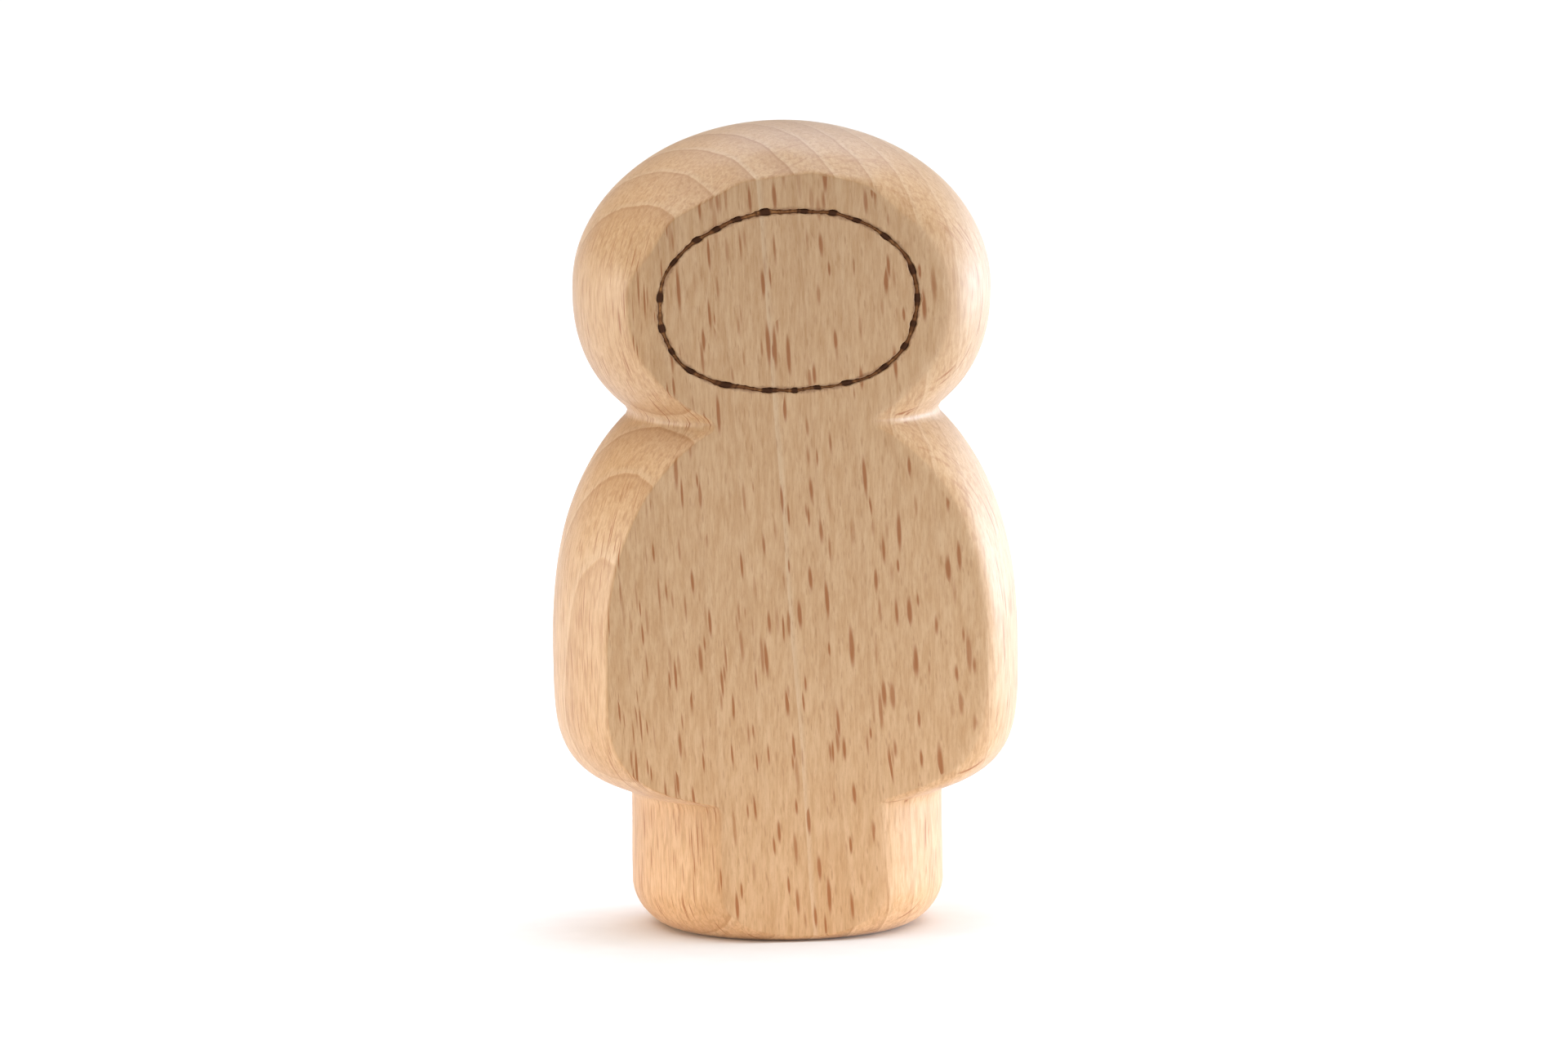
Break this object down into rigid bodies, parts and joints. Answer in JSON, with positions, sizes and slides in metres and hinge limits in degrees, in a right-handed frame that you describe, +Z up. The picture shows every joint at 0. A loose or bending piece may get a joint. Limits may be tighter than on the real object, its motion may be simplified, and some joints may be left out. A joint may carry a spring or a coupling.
{
  "type": "wooden meeple",
  "caption": "Standing wooden peg figure with a hooded round head, a rounded body, a plain foot and an oval line burnt into the front of the head.",
  "frame": {"origin": "centre of the foot's flat underside, on the table", "axes": "+Z up from the table to the crown of the head; the front face with the burnt line looks along -Y; +X across the figure"},
  "size_m": [0.0404, 0.0228, 0.07],
  "materials": {
    "beech": "fine sanded, bare or lightly oiled beech, matt",
    "burnt_wood": "charred line left by a hot tip, matt"
  },
  "bodies": {
    "root": {"figure_body": "beech", "face_outline": "burnt_wood"}
  },
  "joints": []
}
